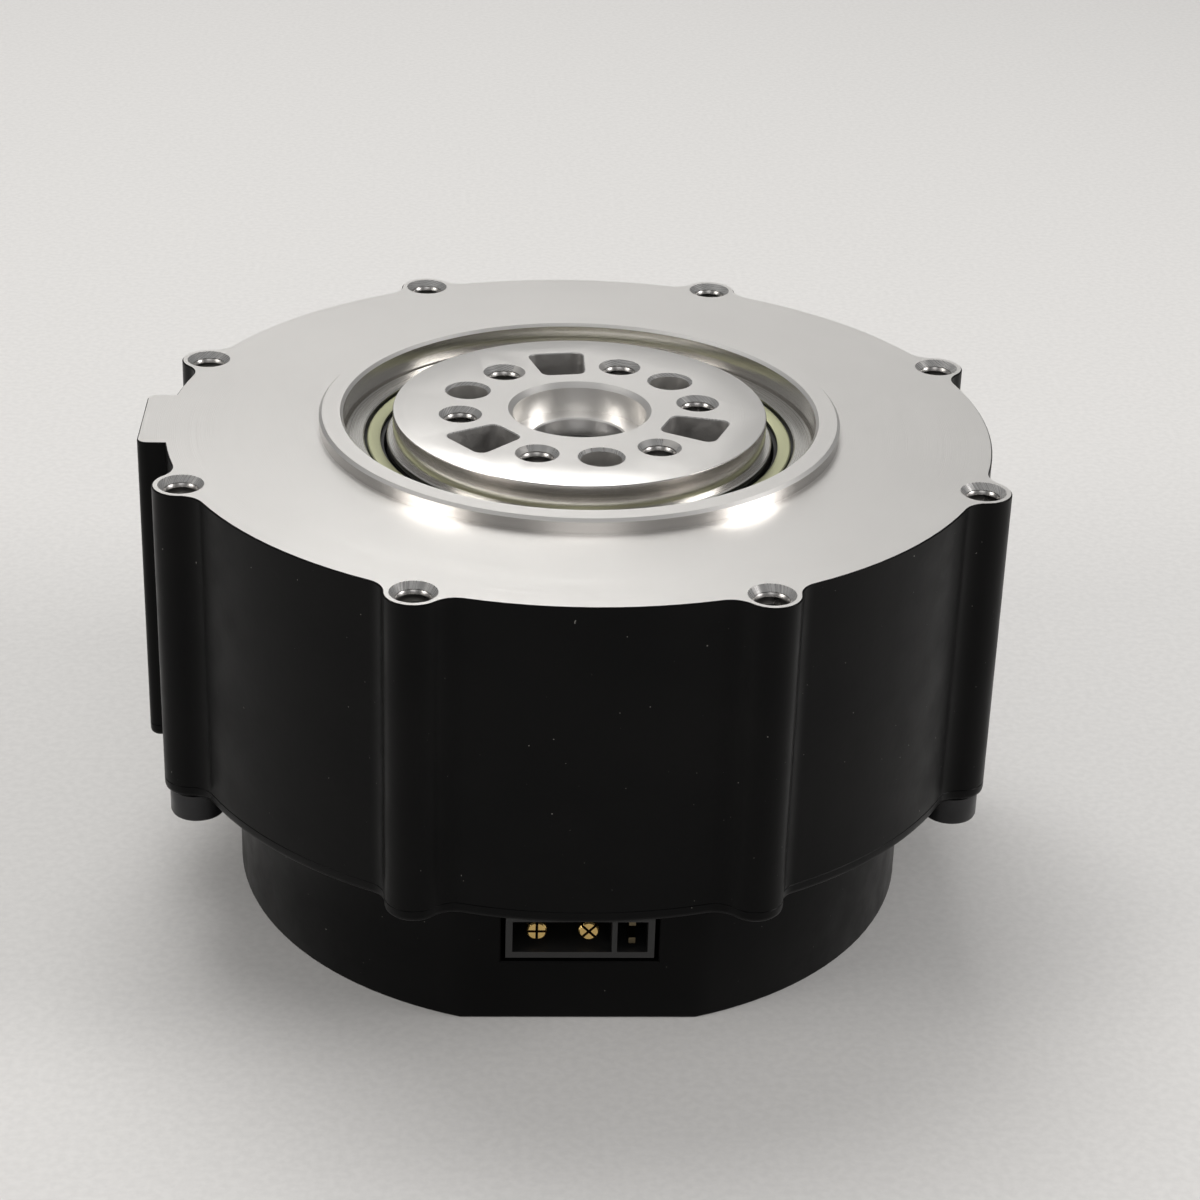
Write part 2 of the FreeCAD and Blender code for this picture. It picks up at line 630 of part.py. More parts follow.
def ringGear():
    """The internal gear, with a gap on the line through the first planet."""
    teeth = int(size("sun_teeth") + 2 * size("planet_teeth"))
    module = gearModule()
    pitch = module * teeth / 2
    tip = pitch - size("tooth_addendum") * module
    root = pitch + size("tooth_dedendum") * module
    gaps = toothWire(teeth, root, tip, size("tooth_thinning"), True)
    bottom = size("ring_bottom")
    top = size("ring_top")
    blank = Part.makeCylinder(size("bearing_outside"), top - bottom, Vector(0, 0, bottom))
    gear = blank.cut(extruded(gaps, bottom, top))
    return solid("ring_gear", gear, size("gear_turn"))


def planetGears():
    """Each planet turns a tooth into the ring gear's gap, wherever it stands."""
    teeth = int(size("planet_teeth"))
    ringTeeth = int(size("sun_teeth")) + 2 * teeth
    module = gearModule()
    pitch = module * teeth / 2
    wire = toothWire(teeth, pitch + size("planet_addendum") * module, pitch - size("tooth_dedendum") * module,
                     size("tooth_thinning"))
    bottom = size("gear_bottom")
    top = size("gear_top")
    bore = Part.makeCylinder(size("pin_radius") + size("slide_gap"), top - bottom, Vector(0, 0, bottom))
    gear = extruded(wire, bottom, top).cut(bore)
    for index in range(3):
        place = size("gear_turn") + 120 * index
        step = 120 * index * ringTeeth / 360
        turn = place + (round(step) - step) * 360 / teeth
        x = size("bolt_circle") * math.cos(math.radians(place))
        y = size("bolt_circle") * math.sin(math.radians(place))
        solid("planet_gear_%d" % (index + 1), gear, turn, x, y)


def sunShaft():
    """The rotor shaft with the sun gear cut on it and the inner races of its bearings."""
    teeth = int(size("sun_teeth"))
    module = gearModule()
    pitch = module * teeth / 2
    wire = toothWire(teeth, pitch + size("tooth_addendum") * module, pitch - size("tooth_dedendum") * module,
                     size("tooth_thinning"))
    gapTurn = 180 / teeth if size("planet_teeth") % 2 == 0 else 0
    gear = extruded(wire, size("ring_bottom"), size("sun_top"))
    gear.rotate(Vector(0, 0, 0), Vector(0, 0, 1), size("gear_turn") + gapTurn)
    wall = size("small_race_wall")
    journal = size("upper_seat_top")
    steps = [
        (size("shaft_radius") + wall, size("lower_seat_bottom"), size("lower_seat_top")),
        (size("shaft_radius") - size("seat_gap"), size("lower_seat_top"), size("ring_bottom")),
        (size("upper_journal"), size("sun_top"), journal - size("upper_bearing_width")),
        (size("upper_journal") + wall, journal - size("upper_bearing_width"), journal - size("slide_gap")),
    ]
    shaft = [Part.makeCylinder(radius, high - low, Vector(0, 0, low)) for radius, low, high in steps]
    return solid("sun_shaft", gear.fuse(shaft).removeSplitter())


# ---------------------------------------------------------------- rotor

def rotorCup():
    body = newBody("rotor_cup")
    spin(body, [
        ("shaft_radius", "rotor_bottom"), ("iron_outside", "rotor_bottom"), ("iron_outside", "stack_top"),
        ("rotor_inside", "stack_top"), ("rotor_inside", "disc_top"), ("shaft_radius", "disc_top")])
    opening = newSketch(body, "XY_Plane", "disc_top", "0")
    low = "spoke_inner * sin(30deg) - spoke_width / 2"
    high = "spoke_outer * sin(30deg) - spoke_width / 2"
    addOutline(opening, [
        ("spoke_inner * cos(30deg)", "-(%s)" % low), ("spoke_outer * cos(30deg)", "-(%s)" % high),
        ("spoke_outer", "0"),
        ("spoke_outer * cos(30deg)", high), ("spoke_inner * cos(30deg)", low)])
    cut(body, opening, "rotor_disc", "spoke_count")
    return body


def rotorMagnets():
    body = newBody("rotor_magnets")
    sketch = newSketch(body, "XY_Plane", "stack_bottom", "0")
    addBlock(sketch, "iron_outside + seat_gap", "iron_outside + seat_gap + magnet_thickness",
             "-magnet_width / 2", "magnet_width / 2")
    raised(body, sketch, "stack_height", "magnet_count")
    return body


# ---------------------------------------------------------------- stator

def statorCore():
    body = newBody("stator_core")
    spin(body, [
        ("yoke_inside", "stack_bottom"), ("stator_outside", "stack_bottom"), ("stator_outside", "stack_top"),
        ("yoke_inside", "stack_top")])
    tooth = newSketch(body, "XY_Plane", "stack_bottom", "0")
    tip = "(3.14159265 * stator_inside / slot_count - slot_mouth / 2)"
    side = "tooth_width / 2"
    addOutline(tooth, [
        ("stator_inside", "-%s" % tip), ("stator_inside", tip), ("tip_outside", tip), ("tip_outside", side),
        ("yoke_inside + yoke_width / 2", side), ("yoke_inside + yoke_width / 2", "-%s" % side),
        ("tip_outside", "-%s" % side), ("tip_outside", "-%s" % tip)])
    raised(body, tooth, "stack_height", "slot_count")
    return body


def statorWindings():
    body = newBody("stator_windings")
    sketch = newSketch(body, "YZ_Plane", "tip_outside + coil_gap", "0")
    reach = "tooth_width / 2 + coil_side"
    addBlock(sketch, "-(%s)" % reach, reach, "stack_bottom - coil_end", "stack_top + coil_end")
    addBlock(sketch, "-tooth_width / 2 - slide_gap", "tooth_width / 2 + slide_gap", "stack_bottom - slide_gap",
             "stack_top + slide_gap")
    feature = raised(body, sketch, "yoke_inside - tip_outside - 2 * coil_gap")
    repeat(body, feature, "slot_count")
    return body


def phaseLeads():
    """Three flat leads from the windings through the rear cover to the board."""
    body = newBody("phase_leads")
    top = "stack_bottom - coil_end - seat_gap"
    outer = "tip_outside + coil_gap + lead_thickness"
    level = "cover_top + lead_height"
    for turn in ("90 - lead_spread", "90", "90 + lead_spread"):
        sketch = newSketch(body, "XZ_Plane", "0", turn)
        addOutline(sketch, [
            (outer, top), (outer + " + lead_thickness", top), (outer + " + lead_thickness", level),
            ("lead_circle + lead_thickness", level), ("lead_circle + lead_thickness", "board_top + seat_gap"),
            ("lead_circle", "board_top + seat_gap"), ("lead_circle", level + " + lead_thickness"),
            (outer, level + " + lead_thickness")])
        raised(body, sketch, "lead_width").Midplane = True
    return body


# ---------------------------------------------------------------- controller

def addDee(sketch, radius, flat):
    """A circle with a flat towards -Y."""
    wide = math.degrees(math.asin(0.9))
    ring = Part.Circle(Vector(0, 0, 0), Vector(0, 0, 1), 30)
    arc = sketch.addGeometry(Part.ArcOfCircle(ring, math.radians(-wide), math.radians(180 + wide)))
    low = Vector(30 * math.cos(math.radians(wide)), -27, 0)
    line = sketch.addGeometry(Part.LineSegment(Vector(-low.x, low.y, 0), low))
    sketch.addConstraint(Sketcher.Constraint("Coincident", arc, 3, -1, 1))
    sketch.addConstraint(Sketcher.Constraint("Coincident", arc, 2, line, 1))
    sketch.addConstraint(Sketcher.Constraint("Coincident", arc, 1, line, 2))
    sketch.addConstraint(Sketcher.Constraint("Horizontal", line))
    index = sketch.addConstraint(Sketcher.Constraint("Radius", arc, 30.0))
    sketch.setExpression("Constraints[%d]" % index, bound(radius))
    index = sketch.addConstraint(Sketcher.Constraint("DistanceY", line, 1, -1, 1, 27.0))
    sketch.setExpression("Constraints[%d]" % index, bound(flat))


def controllerCase():
    body = newBody("controller_case")
    outside = newSketch(body, "XY_Plane", "0")
    addDee(outside, "case_radius", "case_flat")
    raised(body, outside, "base_height")
    inside = newSketch(body, "XY_Plane", "base_height")
    addDee(inside, "case_inside", "flat_inside")
    cut(body, inside, "base_height - case_floor")
    opening = newSketch(body, "XZ_Plane", "case_flat")
    addBlock(opening, "-socket_width / 2", "socket_width / 2", "socket_bottom", "socket_top")
    cut(body, opening, "case_wall + shell_gap")
    return body


def controllerBoard():
    body = newBody("controller_board")
    sketch = newSketch(body, "XY_Plane", "board_bottom", "22.5")
    corners = ["1deg * (%d * 45)" % corner for corner in range(8)]
    addOutline(sketch, [("board_reach * cos(%s)" % turn, "board_reach * sin(%s)" % turn) for turn in corners])
    raised(body, sketch, "board_thickness")
    return body


def boardParts():
    """Chips and capacitors hang under the board, and the sensor chip faces its magnet above."""
    transistors = newBody("power_transistors")
    sketch = newSketch(transistors, "XY_Plane", "board_bottom - chip_height", "30")
    addBlock(sketch, "transistor_circle - chip_size / 2", "transistor_circle + chip_size / 2",
             "-chip_size / 2", "chip_size / 2")
    raised(transistors, sketch, "chip_height", "6")
    processor = newBody("processor_chip")
    sketch = newSketch(processor, "XY_Plane", "board_bottom - chip_height")
    addBlock(sketch, "-processor_size / 2", "processor_size / 2", "-processor_size / 2", "processor_size / 2")
    raised(processor, sketch, "chip_height")
    capacitors = newBody("capacitors")
    for turn in ("90 - capacitor_spread", "90", "90 + capacitor_spread"):
        sketch = newSketch(capacitors, "XY_Plane", "board_bottom - capacitor_height", turn)
        addBlock(sketch, "capacitor_circle - capacitor_width / 2", "capacitor_circle + capacitor_width / 2",
                 "-capacitor_length / 2", "capacitor_length / 2")
        raised(capacitors, sketch, "capacitor_height")
    sensor = newBody("sensor_chip")
    sketch = newSketch(sensor, "XY_Plane", "board_top")
    addBlock(sketch, "-sensor_size / 2", "sensor_size / 2", "-sensor_size / 2", "sensor_size / 2")
    raised(sensor, sketch, "sensor_height")
    magnet = newBody("sensor_magnet")
    sketch = newSketch(magnet, "XY_Plane", "board_top + sensor_height + sensor_gap")
    addCircle(sketch, "sensor_magnet_radius")
    raised(magnet, sketch, "lower_seat_bottom - board_top - sensor_height - sensor_gap")


# ---------------------------------------------------------------- connector

def connector():
    shell = newBody("connector_shell")
    half = "socket_width / 2 - shell_gap"
    face = "case_flat - slide_gap"
    sketch = newSketch(shell, "XZ_Plane", "%s - shell_depth" % face)
    addBlock(sketch, "-(%s)" % half, half, "shell_bottom", "shell_top")
    raised(shell, sketch, "shell_depth")
    low = "shell_bottom + shell_wall"
    high = "shell_top - shell_wall"
    for left, right in (("-(%s) + shell_wall" % half, "partition_place - partition_width / 2"),
                        ("partition_place + partition_width / 2", "%s - shell_wall" % half)):
        cavity = newSketch(shell, "XZ_Plane", face)
        addBlock(cavity, left, right, low, high)
        cut(shell, cavity, "cavity_depth")
    middle = "(shell_bottom + shell_top) / 2"
    signal = "(partition_place + partition_width / 2 + %s - shell_wall) / 2" % half
    root = "%s - cavity_depth + seat_gap" % face
    power = newBody("power_pins")
    sketch = newSketch(power, "XZ_Plane", root)
    addCircle(sketch, "power_pin_radius", "power_pin_place", middle)
    addCircle(sketch, "power_pin_radius", "power_pin_place + pin_pitch", middle)
    raised(power, sketch, "cavity_depth - power_pin_sink")
    signals = newBody("signal_pins")
    sketch = newSketch(signals, "XZ_Plane", root)
    half = "signal_pin_width / 2"
    for side in ("-", "+"):
        level = "%s %s signal_pitch / 2" % (middle, side)
        addBlock(sketch, "%s - %s" % (signal, half), "%s + %s" % (signal, half), "%s - %s" % (level, half),
                 "%s + %s" % (level, half))
    raised(signals, sketch, "cavity_depth - power_pin_sink")


frontHousing()
rearCover()
coverScrews()
ringGear()
outputBearing()
outputFlange()
carrierPlate()
planetPins()
planetGears()
sunShaft()
smallBearing("upper_bearing", "upper_journal", "upper_bearing_outside", "upper_seat_top - upper_bearing_width",
             "upper_bearing_width")
smallBearing("lower_bearing", "shaft_radius", "lower_bearing_outside", "lower_seat_bottom",
             "lower_bearing_width")
rotorCup()
rotorMagnets()
statorCore()
statorWindings()
phaseLeads()
controllerCase()
controllerBoard()
boardParts()
connector()
doc.recompute()


# ---------------------------------------------------------------- checks and export

pieces = [item for item in doc.Objects if item.isDerivedFrom("PartDesign::Body")]
pieces += [item for item in doc.Objects if item.TypeId == "Part::Feature"]
for item in doc.Objects:
    if "Invalid" in item.State or "Error" in item.State:
        raise RuntimeError("%s did not build" % item.Label)
for piece in pieces:
    if piece.Shape.isNull() or not piece.Shape.isValid() or not piece.Shape.Solids:
        raise RuntimeError("%s has no valid solid" % piece.Label)
for piece in pieces:
    piece.Shape.exportStep("parts/%s.step" % piece.Label)
print("%d pieces written" % len(pieces))
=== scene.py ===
import bpy
import bmesh
import json
import math
from mathutils import Matrix, Vector


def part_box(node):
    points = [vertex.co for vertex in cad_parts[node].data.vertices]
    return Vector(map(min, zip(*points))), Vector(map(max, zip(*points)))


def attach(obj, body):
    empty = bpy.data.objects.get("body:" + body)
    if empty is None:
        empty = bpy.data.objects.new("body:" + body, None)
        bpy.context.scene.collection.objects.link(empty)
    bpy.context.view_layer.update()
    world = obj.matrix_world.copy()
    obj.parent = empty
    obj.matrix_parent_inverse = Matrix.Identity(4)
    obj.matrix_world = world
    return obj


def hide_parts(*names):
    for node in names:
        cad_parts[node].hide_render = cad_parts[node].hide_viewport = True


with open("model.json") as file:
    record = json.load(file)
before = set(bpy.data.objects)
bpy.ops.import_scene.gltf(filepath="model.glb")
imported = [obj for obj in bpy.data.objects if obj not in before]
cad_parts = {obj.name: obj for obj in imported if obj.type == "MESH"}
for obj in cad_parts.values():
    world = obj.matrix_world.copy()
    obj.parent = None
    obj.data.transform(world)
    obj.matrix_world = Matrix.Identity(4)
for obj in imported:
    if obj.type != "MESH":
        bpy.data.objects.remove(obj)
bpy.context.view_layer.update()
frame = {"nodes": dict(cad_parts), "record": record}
nodes = frame["nodes"]
mm = 0.001
axisZ = Vector((0, 0, 1))
mounts = {row["name"]: row for row in frame["record"]["mounts"]}
print("frame loaded:", len(nodes), "nodes")

# Heights and radii that several pieces share, read from the frame
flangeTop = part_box("output_flange")[1][2]
housingFace = mounts["housing_face"]["pos_m"][2]
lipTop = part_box("front_housing")[1][2]
boltCircle = mounts["output_bolts"]["dims"]["pcd_mm"] / 2 * mm
earCircle = mounts["housing_bolts"]["dims"]["pcd_mm"] / 2 * mm
gearTurn = math.radians(-81.8)
earTurn = math.radians(22.5)
wallReach = 40.9 * mm  # edges further out belong to the round wall
sharpEdge = math.radians(40)


def around(radius, turn):
    return Vector((radius * math.cos(turn), radius * math.sin(turn), 0))


def reachOf(point):
    return math.hypot(point.x, point.y)


earPlaces = [around(earCircle, earTurn + k * math.pi / 4) for k in range(8)]
boltPlaces = [around(boltCircle, gearTurn + math.radians(30 + 60 * k)) for k in range(6)]
dowelPlaces = [around(boltCircle, gearTurn + math.radians(120 * k)) for k in range(3)]


def newMaterial(name, color, metallic, roughness):
    material = bpy.data.materials.new(name)
    material.use_nodes = True
    shader = material.node_tree.nodes["Principled BSDF"]
    shader.inputs["Base Color"].default_value = (*color, 1)
    shader.inputs["Metallic"].default_value = metallic
    shader.inputs["Roughness"].default_value = roughness
    return material, material.node_tree, shader


def addNoise(tree, scale, detail=3.0, stretch=(1, 1, 1)):
    where = tree.nodes.new("ShaderNodeTexCoord")
    mapping = tree.nodes.new("ShaderNodeMapping")
    mapping.inputs["Scale"].default_value = stretch
    noise = tree.nodes.new("ShaderNodeTexNoise")
    noise.inputs["Scale"].default_value = scale
    noise.inputs["Detail"].default_value = detail
    tree.links.new(where.outputs["Object"], mapping.inputs["Vector"])
    tree.links.new(mapping.outputs["Vector"], noise.inputs["Vector"])
    return noise


def addRamp(tree, source, low, high, fromLow=0.35, fromHigh=0.65):
    spread = tree.nodes.new("ShaderNodeMapRange")
    spread.inputs["From Min"].default_value = fromLow
    spread.inputs["From Max"].default_value = fromHigh
    spread.inputs["To Min"].default_value = low
    spread.inputs["To Max"].default_value = high
    tree.links.new(source, spread.inputs["Value"])
    return spread.outputs["Result"]


def addMix(tree, factor, first, second):
    mix = tree.nodes.new("ShaderNodeMix")
    mix.data_type = "RGBA"
    mix.inputs["A"].default_value = (*first, 1)
    mix.inputs["B"].default_value = (*second, 1)
    tree.links.new(factor, mix.inputs["Factor"])
    return mix.outputs["Result"]


def addBump(tree, shader, height, strength, distance):
    bump = tree.nodes.new("ShaderNodeBump")
    bump.inputs["Strength"].default_value = strength
    bump.inputs["Distance"].default_value = distance
    last = shader.inputs["Normal"].links
    if last:
        tree.links.new(last[0].from_socket, bump.inputs["Normal"])
    tree.links.new(height, bump.inputs["Height"])
    tree.links.new(bump.outputs["Normal"], shader.inputs["Normal"])


# Fine rings about the output axis, with a little wander in their depth
def addTurningMarks(tree, shader, pitch, strength, wander):
    where = tree.nodes.new("ShaderNodeTexCoord")
    parts = tree.nodes.new("ShaderNodeSeparateXYZ")
    flat = tree.nodes.new("ShaderNodeCombineXYZ")
    reach = tree.nodes.new("ShaderNodeVectorMath")
    reach.operation = "LENGTH"
    tree.links.new(where.outputs["Object"], parts.inputs["Vector"])
    tree.links.new(parts.outputs["X"], flat.inputs["X"])
    tree.links.new(parts.outputs["Y"], flat.inputs["Y"])
    tree.links.new(flat.outputs["Vector"], reach.inputs[0])
    total = tree.nodes.new("ShaderNodeMath")
    total.operation = "ADD"
    tree.links.new(reach.outputs["Value"], total.inputs[0])
    tree.links.new(parts.outputs["Z"], total.inputs[1])
    rings = tree.nodes.new("ShaderNodeTexNoise")
    rings.noise_dimensions = "1D"
    rings.inputs["Scale"].default_value = 1 / pitch
    rings.inputs["Detail"].default_value = wander
    tree.links.new(total.outputs["Value"], rings.inputs["W"])
    addBump(tree, shader, rings.outputs["Fac"], strength, pitch)
    return rings


blackCoatLook = {"color": (0.0014, 0.0014, 0.0015), "pale": (0.0024, 0.0023, 0.0023),
                 "dust": (0.30, 0.29, 0.27), "sheen": 0.09, "smooth": 0.30, "rough": 0.40,
                 "peel": 1500, "peelDepth": 0.02 * mm}


def blackCoat():
    look = blackCoatLook
    material, tree, shader = newMaterial("blackCoat", look["color"], 0.0, look["rough"])
    shader.inputs["Specular IOR Level"].default_value = look["sheen"]
    cloud = addNoise(tree, 90)
    tone = addMix(tree, addRamp(tree, cloud.outputs["Fac"], 0, 1), look["color"], look["pale"])
    specks = addNoise(tree, 2600, 1)
    dust = addRamp(tree, specks.outputs["Fac"], 0, 0.6, 0.80, 0.84)
    mix = tree.nodes.new("ShaderNodeMix")
    mix.data_type = "RGBA"
    mix.inputs["B"].default_value = (*look["dust"], 1)
    tree.links.new(dust, mix.inputs["Factor"])
    tree.links.new(tone, mix.inputs["A"])
    tree.links.new(mix.outputs["Result"], shader.inputs["Base Color"])
    worn = addNoise(tree, 260)
    finish = addRamp(tree, worn.outputs["Fac"], look["smooth"], look["rough"])
    tree.links.new(finish, shader.inputs["Roughness"])
    peel = addNoise(tree, look["peel"], 2)
    addBump(tree, shader, peel.outputs["Fac"], 0.35, look["peelDepth"])
    return material


# Metal turned on a lathe: pitch is the feed of the tool in mm, depth the strength of its marks
def turnedMetal(name, color, roughness, pitch, depth):
    material, tree, shader = newMaterial(name, color, 1.0, roughness)
    cloud = addNoise(tree, 60)
    darker = tuple(channel * 0.97 for channel in color)
    tone = addMix(tree, addRamp(tree, cloud.outputs["Fac"], 0, 1), darker, color)
    tree.links.new(tone, shader.inputs["Base Color"])
    rings = addTurningMarks(tree, shader, pitch * mm, depth, 3.0)
    finish = addRamp(tree, rings.outputs["Fac"], roughness - 0.05, roughness + 0.07)
    tree.links.new(finish, shader.inputs["Roughness"])
    return material


def metal(name, color, roughness, scale=500, depth=0.01, metallic=1.0):
    material, tree, shader = newMaterial(name, color, metallic, roughness)
    cloud = addNoise(tree, scale)
    pale = tuple(min(1.0, channel * 1.12) for channel in color)
    tone = addMix(tree, addRamp(tree, cloud.outputs["Fac"], 0, 1), color, pale)
    finish = addRamp(tree, cloud.outputs["Fac"], roughness - 0.05, roughness + 0.06)
    tree.links.new(tone, shader.inputs["Base Color"])
    tree.links.new(finish, shader.inputs["Roughness"])
    grain = addNoise(tree, scale * 3)
    addBump(tree, shader, grain.outputs["Fac"], 0.3, depth * mm)
    return material


def plastic(name, color, roughness):
    return metal(name, color, roughness, 900, 0.015, 0.0)


def lamination():
    material, tree, shader = newMaterial("lamination", (0.22, 0.22, 0.23), 0.9, 0.45)
    sheets = addNoise(tree, 600, 1, (0.01, 0.01, 9))
    edges = addRamp(tree, sheets.outputs["Fac"], 0, 1)
    tree.links.new(addMix(tree, edges, (0.12, 0.12, 0.13), (0.3, 0.3, 0.31)), shader.inputs["Base Color"])
    addBump(tree, shader, sheets.outputs["Fac"], 0.5, 0.05 * mm)
    return material


def copperWinding():
    material, tree, shader = newMaterial("copperWinding", (0.62, 0.24, 0.09), 1.0, 0.32)
    turns = addNoise(tree, 900, 1, (1, 1, 6))
    wires = addRamp(tree, turns.outputs["Fac"], 0, 1)
    tree.links.new(addMix(tree, wires, (0.42, 0.14, 0.05), (0.72, 0.30, 0.12)), shader.inputs["Base Color"])
    addBump(tree, shader, turns.outputs["Fac"], 0.6, 0.15 * mm)
    return material


looks = {
    "blackCoat": blackCoat(),
    "turned": turnedMetal("turnedAluminium", (0.80, 0.785, 0.765), 0.34, 0.09, 0.16),
    "rimCut": turnedMetal("turnedChamfer", (0.66, 0.65, 0.64), 0.28, 0.15, 0.01),
    "bright": turnedMetal("brightRing", (0.62, 0.60, 0.58), 0.20, 0.15, 0.006),
    "race": turnedMetal("bearingSteel", (0.62, 0.61, 0.58), 0.24, 0.07, 0.06),
    "shield": turnedMetal("bearingShield", (0.55, 0.56, 0.36), 0.34, 0.10, 0.10),
    "blasted": metal("blastedPocket", (0.42, 0.41, 0.40), 0.55, 900, 0.12),
    # Thread grey is darker than the turned aluminium the threads are cut in: painted shade for the deep
    # holes
    "shadedThread": metal("threadPaintedShade", (0.40, 0.39, 0.38), 0.30),
    "steel": metal("gearSteel", (0.46, 0.46, 0.47), 0.3),
    "nickel": metal("magnetNickel", (0.66, 0.65, 0.62), 0.22),
    "blackSteel": metal("blackOxide", (0.022, 0.022, 0.023), 0.38, 700, 0.01, 0.6),
    "gold": metal("goldContact", (0.83, 0.58, 0.22), 0.24, 600, 0.01),
    "blackPlastic": plastic("mouldedPlastic", (0.018, 0.018, 0.018), 0.48),
    # Gold contacts dimmed to a dark brown: painted shade over the signal pins deep in the connector
    "shadedContact": metal("goldContactPaintedShade", (0.16, 0.13, 0.08), 0.45, 600, 0.01),
    "rubber": plastic("sealRubber", (0.012, 0.012, 0.012), 0.6),
    "board": plastic("solderMask", (0.02, 0.09, 0.045), 0.4),
    "lamination": lamination(),
    "copper": copperWinding(),
}
print("materials made:", len(looks))


# Creases over the sharp angle stay sharp, everything else shades smooth
def finishMesh(mesh, name, look, body, sharp=32):
    for face in mesh.faces:
        face.smooth = True
    for edge in mesh.edges:
        edge.smooth = not (edge.is_manifold and edge.calc_face_angle(0) > math.radians(sharp))
    data = bpy.data.meshes.new(name)
    mesh.to_mesh(data)
    mesh.free()
    piece = bpy.data.objects.new(name, data)
    bpy.context.scene.collection.objects.link(piece)
    data.materials.append(looks[look])
    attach(piece, body)
    return piece


def copyNode(node):
    mesh = bmesh.new()
    mesh.from_mesh(nodes[node].data)
    bmesh.ops.remove_doubles(mesh, verts=mesh.verts, dist=1e-6)
    bmesh.ops.dissolve_limit(mesh, angle_limit=math.radians(0.3), verts=mesh.verts, edges=mesh.edges)
    return mesh


# The sharp edges at one height, or only those of one circle there
def creases(mesh, level, centre=None, radius=0):
    found = []
    for edge in mesh.edges:
        if not edge.is_manifold or edge.calc_face_angle(0) < sharpEdge:
            continue
        if any(abs(corner.co.z - level) > 0.02 * mm for corner in edge.verts):
            continue
        if centre is not None and any(
                abs(reachOf(corner.co - centre) - radius) > 0.06 * mm for corner in edge.verts):
            continue
        found.append(edge)
    return found


# The sharp edges of the round wall and its columns at one height
def wallCreases(mesh, level):
    return [edge for edge in creases(mesh, level)
            if min(reachOf(corner.co) for corner in edge.verts) > wallReach]


def bevelCreases(mesh, edges, width, steps=1):
    if edges:
        bmesh.ops.bevel(mesh, geom=edges, offset=width, offset_type="OFFSET", affect="EDGES",
                        segments=steps, profile=0.5, material=-1, clamp_overlap=False)


# A ring of the bearing: a closed outline of (radius, height) turned about the output axis
def spun(name, outline, look, body, steps=160):
    mesh = bmesh.new()
    corners = [mesh.verts.new((radius, 0, height)) for radius, height in outline]
    edges = [mesh.edges.new((corners[i], corners[(i + 1) % len(corners)])) for i in range(len(corners))]
    bmesh.ops.spin(mesh, geom=corners + edges, cent=(0, 0, 0), axis=axisZ, angle=math.tau, steps=steps,
                   use_merge=True, use_duplicate=False)
    bmesh.ops.remove_doubles(mesh, verts=mesh.verts, dist=1e-6)
    bmesh.ops.recalc_face_normals(mesh, faces=mesh.faces)
    return finishMesh(mesh, name, look, body)


def giveLook(node, look):
    for slot in nodes[node].material_slots:
        slot.material = looks[look]


housingLook = {"holeBevel": 0.55 * mm, "lipBevel": 0.3 * mm, "edgeBevel": 0.12 * mm, "holeRadius": 1.65 * mm,
               "cutRadius": 2.3 * mm, "holeDepth": 10 * mm, "lipReach": 26 * mm, "boreReach": 24 * mm,
               "earReach": 38 * mm}


# The coat is cut away on the mounting face and on the ring, and in the holes
def paintHousing(piece):
    look = housingLook
    turned, bright, rimCut = 1, 2, 3
    for name in ("turned", "bright", "rimCut"):
        piece.data.materials.append(looks[name])
    for face in piece.data.polygons:
        middle = face.center
        reach = reachOf(middle)
        if middle.z > housingFace - 0.6 * mm and abs(face.normal.z) > 0.9 and reach > look["lipReach"]:
            face.material_index = turned
        elif middle.z > housingFace - 0.01 * mm:
            face.material_index = bright if abs(face.normal.z) < 0.5 else turned
        elif reach < look["boreReach"] and abs(face.normal.z) < 0.5:
            face.material_index = bright
        elif middle.z > housingFace - look["holeDepth"] and reach > look["earReach"]:
            if min(reachOf(middle - place) for place in earPlaces) < look["cutRadius"]:
                face.material_index = rimCut


def frontHousing():
    look = housingLook
    mesh = copyNode("front_housing")
    for place in earPlaces:
        bevelCreases(mesh, creases(mesh, housingFace, place, look["holeRadius"]), look["holeBevel"])
    bevelCreases(mesh, creases(mesh, lipTop), look["lipBevel"])
    outer = [edge for edge in wallCreases(mesh, housingFace)
             if all(reachOf(corner.co - place) >= 2.4 * mm for corner in edge.verts for place in earPlaces)]
    bevelCreases(mesh, outer, look["edgeBevel"])
    piece = finishMesh(mesh, "housingShell", "blackCoat", "housing")
    paintHousing(piece)
    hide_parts("front_housing")


threadLook = {"pitch": 0.7 * mm, "crest": 1.46 * mm, "valley": 1.645 * mm, "start": 0.62 * mm, "turns": 8}


def threads(name, places, top, body):
    mesh = bmesh.new()
    pitch, crest, valley, start = (threadLook[key] for key in ("pitch", "crest", "valley", "start"))
    outline = [(valley, top - start)]
    for turn in range(threadLook["turns"]):
        height = top - start - turn * pitch
        outline += [(crest, height - pitch * 0.45), (crest, height - pitch * 0.55),
                    (valley - 0.01 * mm, height - pitch)]
    outline.append((valley, outline[-1][1] - 0.05 * mm))
    for place in places:
        corners = [mesh.verts.new((place.x + radius, place.y, height)) for radius, height in outline]
        edges = [mesh.edges.new((corners[i], corners[(i + 1) % len(corners)])) for i in range(len(corners))]
        bmesh.ops.spin(mesh, geom=corners + edges, cent=(place.x, place.y, 0), axis=axisZ, angle=math.tau,
                       steps=32, use_merge=True, use_duplicate=False)
    bmesh.ops.remove_doubles(mesh, verts=mesh.verts, dist=1e-7)
    bmesh.ops.recalc_face_normals(mesh, faces=mesh.faces)
    # The threads take the darker thread grey, painted shade inside the holes
    return finishMesh(mesh, name, "shadedThread", body, 80)


coverLook = {"footRound": 0.6 * mm, "seam": 0.12 * mm, "rim": 1.3 * mm}


